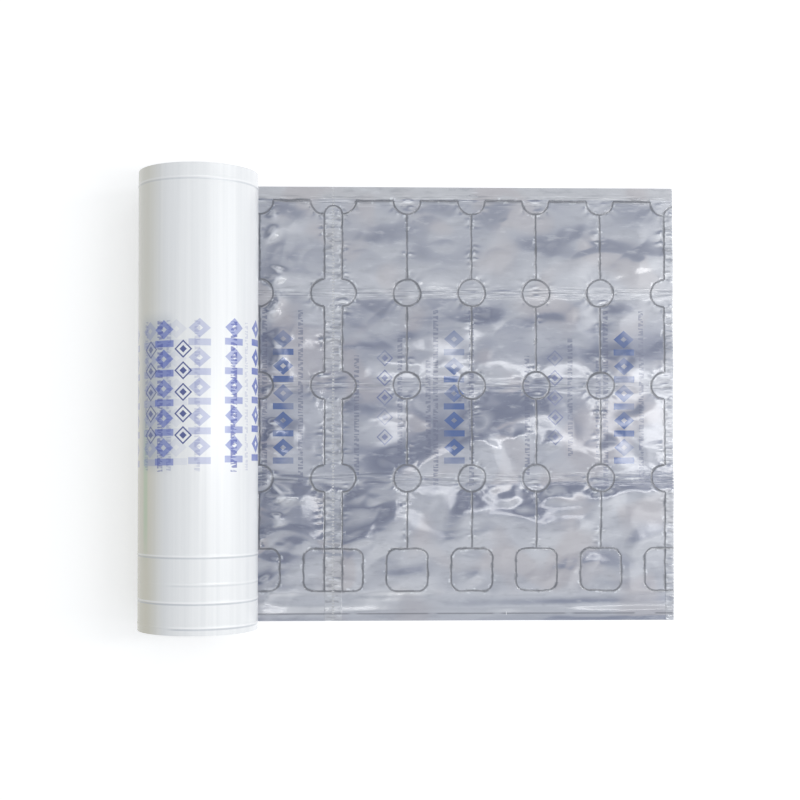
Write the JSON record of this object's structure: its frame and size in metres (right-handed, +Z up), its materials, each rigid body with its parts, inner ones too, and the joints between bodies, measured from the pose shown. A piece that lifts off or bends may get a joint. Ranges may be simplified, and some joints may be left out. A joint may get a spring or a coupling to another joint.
{
  "type": "inflatable bubble film roll",
  "caption": "Roll of un-inflated air-cushion film on a cardboard core, lying on its side with its loose end laid out flat.",
  "frame": {"origin": "on the surface that it lies on, under the middle of the whole object, roll and loose film together", "axes": "+X from the roll along the loose film to its free end, +Y along the roll's axis towards the closing weld, +Z up"},
  "size_m": [0.4869, 0.402, 0.1048],
  "materials": {
    "film": "glossy, milky, translucent film with a faint blue print",
    "core": "matte spiral-wound brown board"
  },
  "bodies": {
    "root": {"film_web": "film", "core_tube": "core"}
  },
  "joints": []
}
